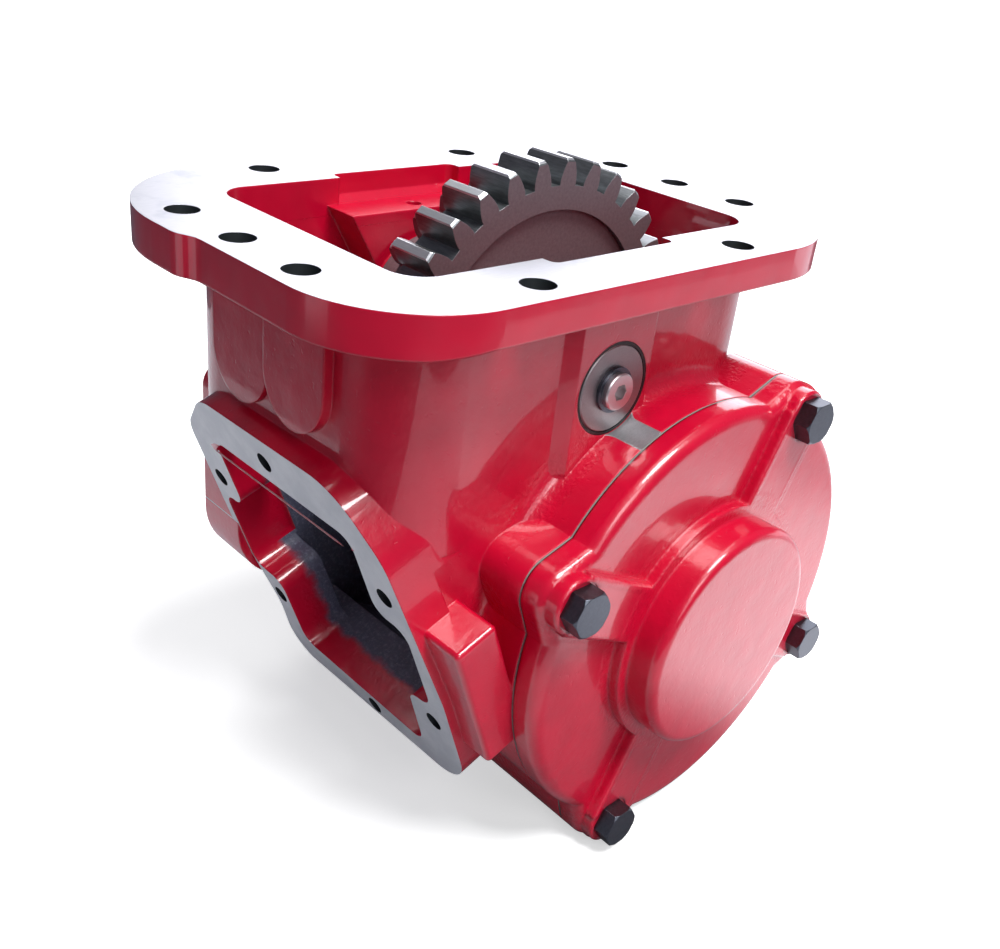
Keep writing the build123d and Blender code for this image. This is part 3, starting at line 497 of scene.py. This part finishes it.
def raw_colour(finish):
    grit = finish.noise(grit_size, 3.0, 0.7).ramp(0.45, 0.75)
    return finish.mix(grit, *raw_iron)


# %% [markdown]
# Now the housing's material can be put together: enamel first, raw iron over it, and the milled faces over
# both. Three shaders could be layered, but one shader with blended values does the same with fewer nodes.
# Where the paint is missing, the clear coat goes with it.
# %% Housing finish
flat_metal = 0.7
side_metal = 0.25
hole_metal = 0.5
milled_roughness = 0.12
raw_roughness = 0.25


def housing_finish():
    finish = Finish("enamelled_housing")
    on_top = flange_top(finish)
    on_side = side_face(finish)
    in_trough = idler_trough(finish)
    in_holes = drilled(finish) * (1.0 - on_top) * (1.0 - on_side)
    milled = (on_top + on_side + in_trough + in_holes).math("MINIMUM", 1.0)
    raw = raw_inside(finish)
    paint, paint_normal = enamel(finish, casting_edge, flange_edge(finish) * flange_edge_smoothness,
                                 barrel_corner(finish))
    streaks = finish.noise(feed_size, 4.0, 0.6, stretch=(0.08, 1, 1))
    milled_normal = finish.bump(streaks, feed_depth, finish.rounded(crisp_edge))
    colour = finish.mix(raw, paint, raw_colour(finish))
    colour = finish.mix(milled, colour, bare_iron(finish, streaks, on_side, in_trough, in_holes))
    metal = (on_top + in_trough).math("MINIMUM", 1.0) * flat_metal + on_side * side_metal
    roughness = milled * milled_roughness + raw * raw_roughness + enamel_roughness
    finish.set(Base_Color=colour, Metallic=metal + in_holes * hole_metal, Roughness=roughness,
               Coat_Weight=(1.0 - milled) * (1.0 - raw) * clear_coat, Coat_Roughness=clear_coat_roughness,
               Normal=finish.mix_normals(milled, paint_normal, milled_normal))
    return finish


housing_paint = housing_finish()
dress(housing_paint, "housing")
print("shader nodes on the housing:", len(housing_paint.tree.nodes))

# %% [markdown]
# Gears are carburised, so their forged faces stay dark, while the teeth are grey on their flanks and ground
# bright on their lands. Picking out every tooth's faces would give the same look, but each change to the
# teeth would undo it. So the shade follows the distance from the axis and which way the metal faces.
# %% Gears
tooth_root = 46.0 * mm
forged_steel = (rgb(106, 90, 94), rgb(142, 124, 128))
flank_steel = (rgb(84, 88, 90), rgb(146, 150, 152))
land_steel = (rgb(196, 199, 202), rgb(232, 234, 236))

forge_grain = 1.2 * mm
forge_depth = 0.02 * mm
tooth_streaks = 0.7 * mm
tooth_edge = 0.35 * mm
gear_metal = 0.5
tooth_metal = 0.35
gear_roughness = 0.44
tooth_polish = 0.12

ToothRow = namedtuple("ToothRow", "near_y far_y land_radius")
cluster_rows = (ToothRow(-33.0 * mm, -12.0 * mm, 71.3 * mm), ToothRow(-12.0 * mm, 6.0 * mm, 56.5 * mm))
sliding_rows = (ToothRow(-12.0 * mm, 6.0 * mm, 58.6 * mm),)


def gear_finish(name, axis, rows):
    """Dark forged faces, grey flanks and bright lands."""
    finish = Finish(name)
    radius = finish.radius(axis)
    y = finish.along(across_y)
    upright = finish.faces(across_y).math("ABSOLUTE").below(0.8)
    teeth = upright * radius.above(tooth_root)
    grain = finish.noise(forge_grain, 4.0, 0.65)
    streaks = finish.noise(tooth_streaks, 3.0, 0.6, stretch=(1, 0.12, 1))
    colour = finish.mix(teeth, finish.mix(grain, *forged_steel), finish.mix(streaks, *flank_steel))
    for row in rows:
        land = upright * radius.above(row.land_radius) * y.between(row.near_y, row.far_y)
        colour = finish.mix(land, colour, finish.mix(streaks, *land_steel))
    finish.set(Base_Color=colour, Metallic=teeth * tooth_metal + gear_metal,
               Roughness=gear_roughness - teeth * tooth_polish,
               Normal=finish.bump(grain, forge_depth, finish.rounded(tooth_edge)))
    return finish


dress(gear_finish("gear_steel_cluster", idler_axis, cluster_rows), "cluster_gear")
dress(gear_finish("gear_steel_sliding", output_axis, sliding_rows), "sliding_gear")
print("rows of teeth with ground lands:", len(cluster_rows + sliding_rows))

# %% [markdown]
# All other metal is one kind of finish with other numbers: two shades mixed by a grain, a roughness that the
# grain raises a little, and a softened edge. Each piece could have its own material, but a workshop turns,
# grinds or blackens them in the same few ways, so one function keeps them alike.
# %% Other metal


def steel(name, dark, light, roughness, size=0.6 * mm, stretch=(1, 1, 1), depth=0.01 * mm, edge=0.2 * mm):
    finish = Finish(name)
    grain = finish.noise(size, 4.0, 0.6, stretch)
    finish.set(Base_Color=finish.mix(grain, dark, light), Roughness=grain * 0.15 + roughness, Metallic=1.0,
               Normal=finish.bump(grain, depth, finish.rounded(edge)))
    return finish


ends = ("front", "rear")
bearing_pieces = ("bearing_outer_race", "bearing_inner_race", "bearing_balls", "needle_rollers")
bright_pieces = [f"{end}_{piece}" for end in ends for piece in bearing_pieces] + ["idler_shaft_pin"]
cages = [f"{end}_{kind}_cage" for end in ends for kind in ("needle", "bearing")]
thrust_washers = [f"{end}_thrust_washer" for end in ends]

dress(steel("ground_steel", rgb(120, 121, 124), rgb(176, 177, 181), 0.22, stretch=(1, 0.2, 1)),
      "output_shaft", "needle_spacer")
dress(steel("dark_shaft_end", rgb(144, 138, 139), rgb(172, 165, 166), 0.4), "idler_shaft")
dress(steel("bearing_steel", rgb(170, 171, 175), rgb(205, 206, 210), 0.12), *bright_pieces)
dress(steel("cage_strip", rgb(132, 118, 92), rgb(168, 152, 122), 0.3), *cages)
dress(steel("washer_bronze", rgb(150, 108, 58), rgb(184, 138, 82), 0.3), *thrust_washers)
dress(steel("black_oxide", rgb(76, 80, 88), rgb(108, 113, 122), 0.3, size=1.0 * mm, edge=0.4 * mm),
      "cover_bolts", "rear_cap_bolts", "output_shaft_snap_ring", "idler_plug_washer")
dress(steel("bright_plug", rgb(206, 198, 198), rgb(226, 219, 220), 0.3, size=4.0 * mm, depth=0.002 * mm),
      "idler_shaft_plug")
print("pieces dressed so far:", len(dressed))

# %% [markdown]
# The gaskets are pressed fibre, and the seals are black rubber. Neither is metal or has a clear coat, so two
# shades, a fine grain and more roughness than the steels have are all they need.
# %% Gaskets and seals


def dull(name, dark, light, roughness, size=0.8 * mm, depth=0.03 * mm, edge=0.2 * mm):
    finish = Finish(name)
    grain = finish.noise(size, 4.0, 0.6)
    finish.set(Base_Color=finish.mix(grain, dark, light), Roughness=roughness,
               Normal=finish.bump(grain, depth, finish.rounded(edge)))
    return finish


dress(dull("gasket_fibre", rgb(112, 126, 120), rgb(160, 172, 166), 0.7), "cover_gasket", "rear_cap_gasket")
dress(dull("seal_rubber", rgb(12, 12, 13), rgb(24, 24, 25), 0.45), "idler_shaft_o_ring", "output_oil_seal")
print("pieces without a finish:", sorted(set(nodes) - set(dressed)))

# %% [markdown]
# A glossy paint shows the room it stands in, with the border of every lamp and panel. A ready-made picture
# of a studio could be wrapped round the scene, but its lamps would stand elsewhere. The photograph's room is
# dim on the left. It has white boards low on the right, a large lamp behind the flange, a tall narrow lamp to
# the right of the camera and a weak reflector at the far left. Each is drawn on the sky between two compass
# directions and two heights.
# %% Room
Panel = namedtuple("Panel", "left right low high strength")
# Azimuths and elevations in degrees, and a strength where 1 is white.
panels = (
    Panel(-40.5, 18.0, -30.0, -18.5, 1.6),
    Panel(-40.5, -18.0, -30.0, 6.0, 0.3),
    Panel(-27.5, 5.0, -18.5, 6.0, 1.2),
    Panel(20.0, 62.0, 2.0, 45.0, 3.2),
    Panel(-119.0, -99.0, 8.0, 48.0, 2.2),
    Panel(146.0, 168.0, -20.0, 0.0, 0.9),
)
panel_border = radians(1.5)
panel_white = (1.0, 0.99, 1.07, 1.0)
room_shade = (0.105, 0.1, 0.13, 1.0)


def compass(azimuth, elevation):
    """A direction from its azimuth, from +X towards +Y, and its elevation, in degrees."""
    flat = cos(radians(elevation))
    return Vector((flat * cos(radians(azimuth)), flat * sin(radians(azimuth)), sin(radians(elevation))))


def side_of(tree, direction, normal):
    """How far a direction lies on one side of a plane through the middle."""
    dot = tree.nodes.new("ShaderNodeVectorMath")
    dot.operation = "DOT_PRODUCT"
    tree.links.new(direction, dot.inputs[0])
    dot.inputs[1].default_value = normal
    return Wave(tree, dot.outputs["Value"])


def panel_light(tree, direction, panel):
    """One panel of light, soft at its four borders."""
    height = side_of(tree, direction, upward)
    distances_inside = (
        height - sin(radians(panel.low)),
        sin(radians(panel.high)) - height,
        side_of(tree, direction, compass(panel.left + 90.0, 0.0)),
        side_of(tree, direction, compass(panel.right - 90.0, 0.0)),
    )
    light = distances_inside[0].ramp(-panel_border, panel_border)
    for distance in distances_inside[1:]:
        light *= distance.ramp(-panel_border, panel_border)
    return light * panel.strength


def colour_node(tree, blend, a, b):
    """Two colours blended in full."""
    node = tree.nodes.new("ShaderNodeMix")
    node.data_type = "RGBA"
    node.blend_type = blend
    connect(tree, 1.0, node.inputs["Factor"])
    connect(tree, a, node.inputs["A"])
    connect(tree, b, node.inputs["B"])
    return Wave(tree, node.outputs["Result"])


def studio_room():
    world = bpy.data.worlds.new("studio_room")
    bpy.context.scene.world = world
    world.use_nodes = True
    tree = world.node_tree
    direction = tree.nodes.new("ShaderNodeTexCoord").outputs["Generated"]
    light = sum(panel_light(tree, direction, panel) for panel in panels)
    tinted = colour_node(tree, "MULTIPLY", light, panel_white)
    connect(tree, colour_node(tree, "ADD", room_shade, tinted), tree.nodes["Background"].inputs["Color"])
    return world


studio_room()
print("panels of light round the unit:", len(panels))

# %% [markdown]
# The camera sees a wide pale floor. The enamel mirrors the table instead, which ends sooner and is greyer. So
# a second sheet lies just over the floor: the camera doesn't see it and it casts no shadow, but reflections
# and bounced light meet it. Two spots on it vary what the paint mirrors: a glare to the right in front of the
# unit, and a shaded spot by its near side.
# %% Floor and table top
floor_gap = 0.5 * mm
floor_size = (60.0, 60.0)
floor_white = (0.92, 0.92, 0.92, 1.0)
floor_glow = (0.55, 0.55, 0.55, 1.0)
table_gap = 0.25 * mm
table_low = (-0.31, -0.56)
table_high = (0.90, 0.60)
table_white = (0.48, 0.48, 0.51, 1.0)
table_shade = (0.16, 0.16, 0.18, 1.0)
table_glow = (0.02, 0.02, 0.02, 1.0)
glare_glow = (0.95, 0.95, 0.97, 1.0)

Spot = namedtuple("Spot", "centre inside outside")
glare_spot = Spot((0.22, -0.18, 0.0), 0.08, 0.2)
shade_spot = Spot((0.02, -0.13, 0.0), 0.06, 0.13)


def level_sheet(name, size, place, white, glow):
    """A white level sheet under the unit, and its finish."""
    bpy.ops.mesh.primitive_plane_add(size=1.0, location=place)
    sheet = bpy.context.object
    sheet.name = name
    sheet.scale = (*size, 1.0)
    finish = Finish(name)
    finish.set(Base_Color=white, Roughness=1.0, Emission_Color=glow, Emission_Strength=1.0)
    finish.shader.inputs["Specular IOR Level"].default_value = 0.0
    sheet.data.materials.append(finish.material)
    sheet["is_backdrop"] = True
    return sheet, finish


def on_spot(finish, spot):
    """One on a round spot of a level sheet, falling to nothing between its two radii."""
    return finish.radius(spot.centre, across_x, across_y).ramp(spot.inside, spot.outside, 1.0, 0.0)


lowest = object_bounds()[0][2]
floor, _ = level_sheet("studio_floor", floor_size, (0.0, 0.0, lowest - floor_gap), floor_white, floor_glow)
floor.visible_glossy = False
floor.visible_diffuse = False

table_size = [high - low for low, high in zip(table_low, table_high)]
table_middle = [(high + low) / 2.0 for low, high in zip(table_low, table_high)]
table, table_finish = level_sheet("table_top", table_size, (*table_middle, lowest - table_gap), table_white,
                                  table_glow)
table.visible_camera = False
table.visible_shadow = False
shade = on_spot(table_finish, shade_spot)
glare = on_spot(table_finish, glare_spot) * (1.0 - shade)
table_finish.set(Base_Color=table_finish.mix(shade, table_white, table_shade),
                 Emission_Color=table_finish.mix(glare, table_glow, glare_glow))
print("table top in m:", [round(length, 2) for length in table_size])

# %% [markdown]
# The panels alone leave the paint too dark, so three lamps add plain light: a small one in front, and two
# wide suns from above that give the pale floor its soft shadow.
# %% Lamps
unit_middle = Vector((0.0, 0.0, -0.1))


def add_lamp(name, kind, azimuth, elevation, energy):
    """A lamp that shines at the unit from a direction, and its settings."""
    data = bpy.data.lights.new(name, kind)
    data.energy = energy
    lamp = bpy.data.objects.new(name, data)
    bpy.context.scene.collection.objects.link(lamp)
    lamp.rotation_euler = (-compass(azimuth, elevation)).to_track_quat("-Z", "Y").to_euler()
    return lamp, data


def soft_lamp(name, azimuth, elevation, distance, width, height, power):
    lamp, data = add_lamp(name, "AREA", azimuth, elevation, power)
    data.shape = "RECTANGLE"
    data.size = width
    data.size_y = height
    lamp.location = unit_middle + compass(azimuth, elevation) * distance


def sun_lamp(name, azimuth, elevation, spread, strength):
    lamp, data = add_lamp(name, "SUN", azimuth, elevation, strength)
    data.angle = radians(spread)


soft_lamp("key_front", azimuth=-104.0, elevation=36.0, distance=1.3, width=0.5, height=0.35, power=2.6)
sun_lamp("overhead_front", azimuth=-84.0, elevation=67.0, spread=24.0, strength=3.4)
sun_lamp("overhead_back", azimuth=60.0, elevation=72.0, spread=40.0, strength=1.3)
bpy.context.scene.view_settings.view_transform = "Standard"
bpy.context.scene.view_settings.look = "None"
print("lamps:", [lamp.name for lamp in bpy.data.lights])

# %% [markdown]
# The finished model should stay the size of the CAD model, so both boxes are measured and the largest change
# between them is printed.
# %% Sizes and the end
final_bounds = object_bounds()
changes = [abs(a - b) for cad, visual in zip(cad_bounds, final_bounds) for a, b in zip(cad, visual)]
print("largest change of the box in mm:", max(changes) / mm)
